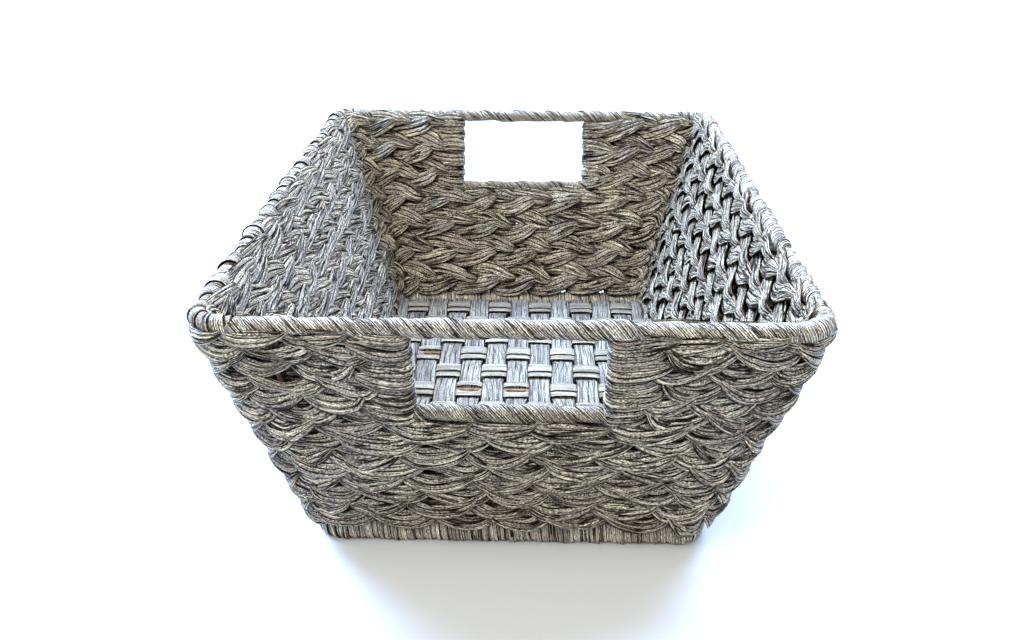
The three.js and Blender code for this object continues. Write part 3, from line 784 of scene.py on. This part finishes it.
def strip_material(name, dark, middle, pale, thread, roughness, cracks=1.0, valleys=1.0, valley_width=1.0,
                   fineness=1.0):
    """A strip of fine threads side by side: flecked, with dark cracks between threads and some paler threads.
    Its fold and crease valleys get painted shade and throw back no specular light, and its fold tops get a
    painted highlight. Its edges get a painted highlight and then painted shade."""
    material, tree, shader = new_material(name, roughness)
    pattern = StripPattern(tree)
    fleck = pattern.noise(along=0.85, across=2.1 * math.sqrt(fineness), detail=2.0)
    broad = pattern.noise(along=0.02, across=0.12, detail=2.0, shift=7.3)
    wide_crack = pattern.line(along=0.022, across=0.34 * fineness, shift=11.7)
    fine_crack = pattern.line(along=0.035, across=0.85 * fineness, shift=19.2)
    pale_thread = pattern.line(along=0.028, across=0.62 * fineness, shift=29.9)
    fold_phase, crease_phase, to_edge = split_attribute(tree, "folds")

    base = ramp(tree, fleck, list(zip(FLECK_PLACES, (dark, middle, pale))))
    colour = mixed(tree, ramp(tree, pale_thread, PALE_THREAD), base, thread)
    fold_stops = [(place * valley_width, tone) for place, tone in FOLD_VALLEY_SHADE] + [FOLD_TOP_HIGHLIGHT]
    # Painted shade in the fold and crease valleys, a painted highlight on fold tops, and a painted highlight
    # and painted shade at the edges
    fold_shade = ramp(tree, wave(tree, fold_phase, math.pi), fold_stops)
    wide = ramp(tree, wide_crack, WIDE_CRACK)
    crease_shade = ramp(tree, wave(tree, crease_phase, math.pi), CREASE_VALLEY_SHADE)
    edge = ramp(tree, to_edge, EDGE_HIGHLIGHT_AND_SHADE)
    # Multiplied over the colour: the strip's own tones and cracks, then the painted shade and painted
    # highlights
    shades = (
        (1.0, ramp(tree, broad, BROAD_SHADE)), (FINE_SHARE * cracks, ramp(tree, fine_crack, FINE_CRACK)),
        (cracks, wide), (valleys, fold_shade), (valleys, crease_shade), (1.0, edge),
    )
    for strength, shade in shades:
        colour = mixed(tree, strength, colour, shade, "MULTIPLY")
    tree.links.new(colour, shader.inputs["Base Color"])

    # The painted shade of the valleys and edges, together with the wide cracks, also cuts the specular
    # reflection
    open_to_light = fold_shade
    for shade in (wide, crease_shade, edge):
        open_to_light = mixed(tree, 1.0, open_to_light, shade, "MULTIPLY")
    tree.links.new(math_node(tree, "MULTIPLY", open_to_light, SHEEN), shader.inputs["Specular IOR Level"])

    cut = math_node(tree, "MULTIPLY", math_node(tree, "MINIMUM", wide_crack, CRACK_REACH), CRACK_CUT)
    rough = math_node(tree, "ADD", cut, math_node(tree, "MULTIPLY", fleck, FLECK_RELIEF))
    height = math_node(tree, "ADD", pattern.threads(), rough)
    add_bump(tree, shader, height, BUMP_STRENGTH, THREAD_DEPTH * MM)
    return material


WEAVE = strip_material(
    "weave_strip", dark=(0.030, 0.023, 0.017), middle=(0.190, 0.163, 0.124), pale=(0.70, 0.63, 0.50),
    thread=(0.82, 0.74, 0.59), roughness=0.40, valley_width=1.6)
RING = strip_material(
    "base_ring_strip", dark=(0.17, 0.145, 0.123), middle=(0.56, 0.50, 0.42), pale=(0.90, 0.845, 0.73),
    thread=(0.92, 0.87, 0.76), roughness=0.40, valleys=0.6, valley_width=1.8, fineness=2.2)
WINDING = strip_material(
    "winding_strip", dark=(0.14, 0.117, 0.085), middle=(0.41, 0.375, 0.305), pale=(0.76, 0.73, 0.65),
    thread=(0.88, 0.85, 0.77), roughness=0.42, valley_width=2.2, fineness=2.4)
# A darker, more olive copy of the winding strip: partly the bar's own olive tone, partly painted shade
# because the front-facing bar gets less light
OLIVE_SHADED_BAR_STRIP = strip_material(
    "bar_winding_strip", dark=(0.09, 0.073, 0.046), middle=(0.27, 0.24, 0.175), pale=(0.58, 0.54, 0.42),
    thread=(0.68, 0.635, 0.50), roughness=0.46, valley_width=2.2, fineness=2.4)
FLOOR = strip_material(
    "floor_strip", dark=(0.14, 0.138, 0.132), middle=(0.27, 0.267, 0.257), pale=(0.42, 0.417, 0.40),
    thread=(0.54, 0.536, 0.515), roughness=0.42, cracks=0.7, valleys=0.8, fineness=2.2)
# A paler copy of the floor strip: partly the cross strips' own beige tone, partly painted light that lifts
# the shade falling on them
TONED_AND_LIT_CROSS_STRIP = strip_material(
    "floor_cross_strip", dark=(0.33, 0.32, 0.285), middle=(0.53, 0.515, 0.46), pale=(0.72, 0.705, 0.64),
    thread=(0.80, 0.785, 0.72), roughness=0.42, cracks=0.6, valleys=0.8, fineness=1.8)

WIRE_TONES = ((0.35, (0.10, 0.055, 0.027)), (0.55, (0.23, 0.135, 0.062)), (0.75, (0.40, 0.26, 0.12)))


def wire_material():
    """Brown lacquer that is thin and worn in places."""
    material, tree, shader = new_material("painted_wire", roughness=0.42)
    place = tree.nodes.new("ShaderNodeTexCoord")
    noise = node(tree, "ShaderNodeTexNoise", in_Scale=260.0, in_Detail=3.0, in_Roughness=0.6)
    tree.links.new(place.outputs["Object"], noise.inputs["Vector"])
    tree.links.new(ramp(tree, noise.outputs["Fac"], WIRE_TONES), shader.inputs["Base Color"])
    add_bump(tree, shader, noise.outputs["Fac"], strength=0.4, distance=0.1 * MM)
    return material


# Windings round a wire

# Radius, the strip's angle in degrees from straight round the wire, its width as a share of the room between
# two turns, the points across it and the distance between its stations
Winding = namedtuple("Winding", "radius degrees overlap points station")
SHORT_RIM = Winding(4.15, 44, 1.12, 27, 1.9)
LONG_RIM = Winding(4.15, 26, 1.12, 27, 1.9)
CAP = Winding(4.6, 13, 1.25, 11, 1.5)
BASE_RING = Winding(4.55, 9, 1.2, 9, 1.9)
BAR = Winding(3.95, 44, 1.12, 27, 1.9)

# Widths of a wound strip's folds and ridges, and the height of the ridges
WOUND_FOLD = 1.0
WOUND_RIDGE = 2.6
RIDGE_HEIGHT, RIDGE_POWER = 0.30, 0.8
# One edge of each turn lies over the turn beside it, higher by twice this
SHINGLE = 0.6
# The share of its half width at which a strip starts to curl down, and by how much
EDGE_START, EDGE_CURL = 0.86, 0.5
# How it drifts along the wire, comes loose and has its folds wander, and how tight it can get
WOUND_DRIFT = (14, 0.35)
WOUND_LOOSE = (11, 0.34)
WOUND_WANDER = (12, 0.6)
TIGHTEST = -0.2
# Creases to each fold, and how near its edge a strip counts as being for its painted highlight and painted
# shade: in its middle, and more at the edge
WOUND_CREASES = 2.3
WOUND_MIDDLE, WOUND_EDGE = 0.8, 0.2


def lay_winding(bundle, centre, out, winding, rng, swell=None, upward_reach=0.0, rests_on=None):
    """A strip wound round a wire. centre is the wire's path in fine steps, out its outward direction. swell
    says how much further out the strip lies at places along the wire, upward_reach draws its top up the wall,
    and rests_on flattens its underside on a level."""
    radius, lean = winding.radius, math.radians(winding.degrees)
    length = length_along(centre)
    total = length[-1]
    tangent = unit(np.gradient(centre, axis=0))
    half = math.pi * radius * math.sin(lean) * winding.overlap
    run = total / math.sin(lean)
    n = int(run / winding.station)
    xi = np.linspace(0, run, n)
    eta = np.linspace(-half, half, winding.points)
    drift = smooth_noise(n, *WOUND_DRIFT, rng)
    along = xi[:, None] * math.sin(lean) + (eta + drift[:, None]) * math.cos(lean)
    along = np.clip(along, 0, total)
    angle = -(xi[:, None] * math.cos(lean) - eta * math.sin(lean)) / radius
    seed = rng.uniform(0, PATTERN_SPAN)
    loose = smooth_noise(n, *WOUND_LOOSE, rng)[:, None]
    wander = smooth_noise(n, *WOUND_WANDER, rng)[:, None]
    fold_phase = eta / WOUND_FOLD + wander
    ridges = RIDGE_HEIGHT * np.abs(np.sin(math.pi * (eta / WOUND_RIDGE + wander))) ** RIDGE_POWER
    to_edge = np.clip((np.abs(eta) / half - EDGE_START) / (1 - EDGE_START), 0, 1)
    reach = radius + np.maximum(loose, TIGHTEST) + ridges + SHINGLE * (eta / half) - EDGE_CURL * to_edge
    if swell is not None:
        reach = reach + swell(along)

    def at_points(values):
        return np.stack([np.interp(along, length, values[:, i]) for i in (X, Y, Z)], -1).reshape(-1, 3)

    ahead = unit(at_points(tangent))
    outward = at_points(out)
    outward = unit(outward - ahead * np.sum(outward * ahead, 1, keepdims=True))
    upward = np.cross(outward, ahead)
    turn = np.cos(angle).reshape(-1, 1) * outward + np.sin(angle).reshape(-1, 1) * upward
    up_wall = unit(outward * math.sin(SLOPE) + np.array([0.0, 0.0, math.cos(SLOPE)]))
    rise = np.maximum(np.sum(turn * up_wall, 1, keepdims=True), 0)
    grid = at_points(centre) + turn * reach.reshape(-1, 1) + up_wall * upward_reach * rise**2
    if rests_on is not None:
        grid[:, Z] = np.maximum(grid[:, Z], rests_on)
    fibre = point_values(angle.shape, xi[:, None], eta, seed)
    # The fold phases set the painted valley shade, and the edge place sets the painted highlight and painted
    # shade at the edges of the turns
    folds = point_values(angle.shape, fold_phase, WOUND_CREASES * fold_phase + seed,
                         WOUND_MIDDLE + WOUND_EDGE * to_edge)
    bundle.add_grid(grid.reshape(*angle.shape, 3), fibre, folds, False)


def ring_path(z, start, end, step=1.0):
    """The middle line of a ring between two distances along it, and which way is out."""
    count = int(abs(end - start) / step) + 2
    along = np.linspace(start, end, count)
    flat, out = on_loop(along, z, np.full(count, z))
    return np.column_stack([flat, np.full(count, z)]), np.column_stack([out, np.zeros(count)])


def corner_spans(z, reach):
    """The stretches of a ring round its corners, with a reach beyond each side of the corner."""
    lengths = loop_lengths(z)
    ends = np.cumsum(lengths)
    return [(ends[k] - lengths[k] - reach, ends[k] + reach) for k in CORNERS]


# How far past the corners the caps reach and the rim's windings end, and how far those go in under a cap
CAP_REACH = 4.0
RIM_END = 2.0
UNDER_CAP = 2.0
# The rim's long sides are lumpy
RIM_LUMPS = (7, 0.75)


def rim_winding():
    bundle = Bundle()
    caps = corner_spans(RIM_Z, RIM_END)
    total = loop_lengths(RIM_Z).sum()
    spans = [(caps[k - 1][1], caps[k][0]) for k in range(len(caps))]
    spans[0] = (caps[-1][1] - total, caps[0][0])
    for k, (start, end) in enumerate(spans):
        long_side = k % 2 == 1
        rng = draws("rim", k)
        centre, out = ring_path(RIM_Z, start - UNDER_CAP, end + UNDER_CAP)
        places = np.linspace(0, end - start + 2 * UNDER_CAP, len(centre))
        lumps = smooth_noise(len(centre), *RIM_LUMPS, rng) if long_side else np.zeros(len(centre))
        lay_winding(bundle, centre, out, LONG_RIM if long_side else SHORT_RIM, rng,
                    swell=lambda along: np.interp(along, places, lumps))
    return bundle


def corner_caps():
    bundle = Bundle()
    for k, (start, end) in enumerate(corner_spans(RIM_Z, CAP_REACH)):
        centre, out = ring_path(RIM_Z, start, end, step=0.5)
        lay_winding(bundle, centre, out, CAP, draws("caps", k))
    return bundle


# The base ring bulges where stakes end on its wire: how far, and how far along it
STAKE_BULGE, STAKE_REACH = 0.55, 3.5
RING_UP_WALL = 4.5


def base_winding():
    bundle = Bundle()
    columns = columns_at(BASE_Z)
    _, _, _, total = wall_middles(BASE_Z)
    centre, out = ring_path(BASE_Z, 0, total)

    def over_stakes(along):
        near = np.min(np.abs(along[..., None] - columns), -1)
        return STAKE_BULGE * np.exp(-((near / STAKE_REACH) ** 2))

    lay_winding(bundle, centre, out, BASE_RING, draws("base_ring"), over_stakes, RING_UP_WALL, rests_on=0.0)
    return bundle


# How far a bar's winding goes past the uprights' middles, and how it rises towards its ends
BAR_PAST_UPRIGHT = 2.5
BAR_RISE, RISE_BEFORE, RISE_LENGTH = 0.8, 5, 6


def bar_winding(sign):
    bundle = Bundle()
    reach = UPRIGHT_X + BAR_PAST_UPRIGHT
    count = int(2 * reach)
    x = np.linspace(-reach, reach, count)
    _, wall_y, _ = outline(np.full(count, BAR_Z))
    z = BAR_Z + BAR_RISE * ease((np.abs(x) - UPRIGHT_X + RISE_BEFORE) / RISE_LENGTH)
    centre = np.column_stack([x, sign * wall_y, z])
    out = np.tile([0, sign * math.cos(SLOPE), -math.sin(SLOPE)], (count, 1))
    if sign > 0:
        centre, out = centre[::-1], out[::-1]
    lay_winding(bundle, centre, out, BAR, draws("bars", sign))
    return bundle


# The floor

STICK_ROWS = [base for base, _ in long_columns]
STICK_PITCH = STICK_ROWS[1] - STICK_ROWS[0]
FLOOR_REACH_X = BASE_X - 5.5
FLOOR_REACH_Y = BASE_Y - 1.5
EAST, NORTH, UP = np.eye(3)[:, None]

# The bands that run from front to back. The outermost ones are narrow and lie beside the walls.
BAND_PITCH = 16.0
BAND_HALF = 7.6
OUTERMOST = 6
OUTERMOST_HALF, OUTERMOST_INSET = 4.2, 4.0
BAND_STATION = 2.6
# Height over the sticks, swing up and down, how abrupt that is, and how much narrower a band gets on top
BAND_LIFT, BAND_SWING, BAND_ABRUPT, BAND_SQUEEZE = 0.3, 2.3, 1.7, 0.05
BAND_WANDER, BAND_WIDTH_CHANGE = (20, 0.3), (14, 0.02)
BAND_ARCH, BAND_PLEAT, BAND_THICKNESS = 0.15, 0.16, 0.8

# The thin strips that cross the bands, on each stick and at this distance on both sides of it
STRIP_APART = 6
STRIP_HALF = 3.1
STRIP_STATION = 2.2
ON_STICK_LIFT, BESIDE_STICK_LIFT, STRIP_SWING, STRIP_ABRUPT = 1.75, 0.5, 0.5, 2.2
STRIP_WANDER, STRIP_WIDTH_CHANGE = (14, 0.35), (12, 0.08)
CROSS_ARCH, CROSS_PLEAT, CROSS_THICKNESS = 0.35, 0.12, 0.6

# Where the strip on a stick leaves it bare: row of sticks and places along it. The strip goes aside, down and
# narrower, and the strips beside it give way.
BARE_STICKS = {0: (0.0, -32.0), 2: (-62.0,)}
BARE_LENGTH = 9.0
BARE_ASIDE, BARE_DOWN, BARE_NARROWER, BARE_GIVE_WAY = 4.9, 2.9, 0.45, 1.5


def floor_bands():
    bundle = Bundle()
    y = np.linspace(-FLOOR_REACH_Y, FLOOR_REACH_Y, int(2 * FLOOR_REACH_Y / BAND_STATION))
    n = len(y)
    for k in range(-OUTERMOST, OUTERMOST + 1):
        rng = draws("floor_bands", k)
        x, half = BAND_PITCH * k, BAND_HALF
        if abs(k) == OUTERMOST:
            x, half = math.copysign(FLOOR_REACH_X - OUTERMOST_INSET, k), OUTERMOST_HALF
        over = np.cos(math.pi * (y / STICK_PITCH + (k + 1) % 2))
        swing = np.clip(over * BAND_ABRUPT, -1, 1)
        z = STICK_Z + BAND_LIFT + BAND_SWING * swing
        centre = np.column_stack([x + smooth_noise(n, *BAND_WANDER, rng), y, z])
        widths = half * (1 - BAND_SQUEEZE * swing) * (1 + smooth_noise(n, *BAND_WIDTH_CHANGE, rng))
        lay_strip(bundle, centre, widths, EAST, UP, BAND_ARCH, BAND_PLEAT, rng, BAND_THICKNESS)
    return bundle


def floor_strips():
    bundle = Bundle()
    x = np.linspace(-FLOOR_REACH_X, FLOOR_REACH_X, int(2 * FLOOR_REACH_X / STRIP_STATION))
    n = len(x)
    for row in STICK_ROWS:
        index = round(row / STICK_PITCH)
        bare = np.zeros(n)
        for place in BARE_STICKS.get(index, ()):
            bare = bare + np.exp(-(((x - place) / BARE_LENGTH) ** 4))
        swing = np.clip(np.cos(math.pi * (x / BAND_PITCH + index)) * STRIP_ABRUPT, -1, 1)
        for side in (-1, 0, 1):
            rng = draws("floor_strips", SEEDS_PER_STICK * index + STRIP_APART * side)
            y = row + STRIP_APART * side + smooth_noise(n, *STRIP_WANDER, rng)
            z = STICK_Z + (BESIDE_STICK_LIFT if side else ON_STICK_LIFT) + STRIP_SWING * swing
            widths = STRIP_HALF * (1 + smooth_noise(n, *STRIP_WIDTH_CHANGE, rng))
            if side:
                y = y + BARE_GIVE_WAY * side * bare
            else:
                y = y - BARE_ASIDE * bare
                z = z - BARE_DOWN * bare
                widths = widths * (1 - BARE_NARROWER * bare)
            centre = np.column_stack([x, y, z])
            lay_strip(bundle, centre, widths, NORTH, UP, CROSS_ARCH, CROSS_PLEAT, rng, CROSS_THICKNESS)
    return bundle


# Building the pieces

def dress(piece, nodes):
    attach(piece, "root")
    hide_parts(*nodes)


MIDDLE_ROWS = (UPPER_ROWS + ROW_COUNT) // 2
for name, first, last in (("middle", UPPER_ROWS, MIDDLE_ROWS), ("lowest", MIDDLE_ROWS, ROW_COUNT)):
    lower = Bundle()
    for row in range(first, last):
        lower_row(lower, row)
    dress(lower.make(f"woven_rows_{name}", WEAVE),
          ["weave_left", "weave_right", "weave_front_lower", "weave_back_lower"])

for name, right in (("left", False), ("right", True)):
    upper = Bundle()
    for row in range(UPPER_ROWS):
        upper_row(upper, row, right)
    dress(upper.make(f"woven_rows_{name}_of_handles", WEAVE),
          [f"weave_{name}", f"weave_front_beside_handle_{name}", f"weave_back_beside_handle_{name}"])

dress(rim_winding().make("wound_rim", WINDING), nodes_named("rim_wrap_"))
dress(corner_caps().make("wound_rim_corners", WINDING), nodes_named("rim_corner_wrap_"))
dress(base_winding().make("wound_base_ring", RING), nodes_named("base_wrap_"))
dress(bar_winding(-1).make("wound_handle_bar_front", OLIVE_SHADED_BAR_STRIP), ["handle_wrap_front"])
dress(bar_winding(1).make("wound_handle_bar_back", OLIVE_SHADED_BAR_STRIP), ["handle_wrap_back"])
dress(floor_bands().make("floor_bands", FLOOR), ["floor_weave"])
dress(floor_strips().make("floor_cross_strips", TONED_AND_LIT_CROSS_STRIP), ["floor_weave"])

wire = wire_material()
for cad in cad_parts.values():
    cad.data.materials.clear()
    cad.data.materials.append(wire)


# Floor, light and camera, in metres

TABLE_REACH = 6.0
TABLE_COLOUR = (0.46, 0.467, 0.467, 1)


def table():
    material, _, shader = new_material("pale_floor", roughness=0.6)
    shader.inputs["Base Color"].default_value = TABLE_COLOUR
    mesh = bpy.data.meshes.new("pale_table")
    corners = [(x * TABLE_REACH, y * TABLE_REACH, 0) for x, y in ((-1, -1), (1, -1), (1, 1), (-1, 1))]
    mesh.from_pydata(corners, [], [(0, 1, 2, 3)])
    mesh.materials.append(material)
    add_object("pale_table", mesh)


# Name, place, target, size, power in watts, colour
LIGHTS = (
    ("softbox_behind", (0.0, 1.1, 1.25), (0, 0.05, 0.0), (2.2, 1.2), 62.0, (0.84, 0.90, 1.0)),
    ("softbox_in_front", (-0.15, -0.85, 1.35), (0, 0.05, 0.05), (1.6, 1.0), 33.0, (1.0, 0.985, 0.93)),
    ("backdrop_light", (0.0, 2.4, 1.2), (0, 2.7, 0.0), (4.0, 1.0), 60.0, (0.93, 0.97, 1.0)),
    ("window_left", (-1.05, 0.55, 1.05), (0, 0, 0.05), (0.5, 0.8), 116.0, (0.41, 0.62, 1.0)),
    ("window_right", (0.95, 0.75, 1.15), (0, 0, 0.05), (0.5, 0.8), 56.0, (0.40, 0.60, 1.0)),
)
WORLD_COLOUR = (0.93, 0.97, 1.0, 1)
WORLD_STRENGTH = 0.66


def area_light(name, place, target, size, power, colour):
    data = bpy.data.lights.new(name, "AREA")
    data.shape = "RECTANGLE"
    data.size, data.size_y = size
    data.energy = power
    data.color = colour
    made = add_object(name, data)
    made.location = place
    made.rotation_mode = "QUATERNION"
    made.rotation_quaternion = (Vector(target) - Vector(place)).to_track_quat("-Z", "Y")


def studio():
    world = bpy.data.worlds.new("studio")
    world.use_nodes = True
    background = world.node_tree.nodes["Background"]
    background.inputs["Color"].default_value = WORLD_COLOUR
    background.inputs["Strength"].default_value = WORLD_STRENGTH
    bpy.context.scene.world = world
    for light in LIGHTS:
        area_light(*light)


# The photo's camera, solved from its perspective: place, yaw, pitch and roll, and focal length in pixels
CAMERA_PLACE = (0.010645, -0.619457, 0.350385)
CAMERA_ANGLES = (-0.0221, 0.4375, 0.0037)
FOCAL_PIXELS, PHOTO_WIDTH = 1042.81, 1024
SENSOR_WIDTH = 36.0
CLIPPING = (0.01, 50.0)


def camera():
    yaw, pitch, roll = CAMERA_ANGLES
    forward = Vector((math.sin(yaw) * math.cos(pitch), math.cos(yaw) * math.cos(pitch), -math.sin(pitch)))
    right = Vector((math.cos(yaw), -math.sin(yaw), 0))
    up = right.cross(forward)
    right_rolled = right * math.cos(roll) + up * math.sin(roll)
    up_rolled = up * math.cos(roll) - right * math.sin(roll)
    data = bpy.data.cameras.new("photo_camera")
    data.sensor_width = SENSOR_WIDTH
    data.lens = SENSOR_WIDTH * FOCAL_PIXELS / PHOTO_WIDTH
    data.clip_start, data.clip_end = CLIPPING
    made = add_object("photo_camera", data)
    turn = Matrix((right_rolled, up_rolled, -forward)).transposed().to_4x4()
    made.matrix_world = Matrix.Translation(CAMERA_PLACE) @ turn
    bpy.context.scene.camera = made


table()
studio()
camera()
bpy.context.scene.view_settings.view_transform = "Standard"
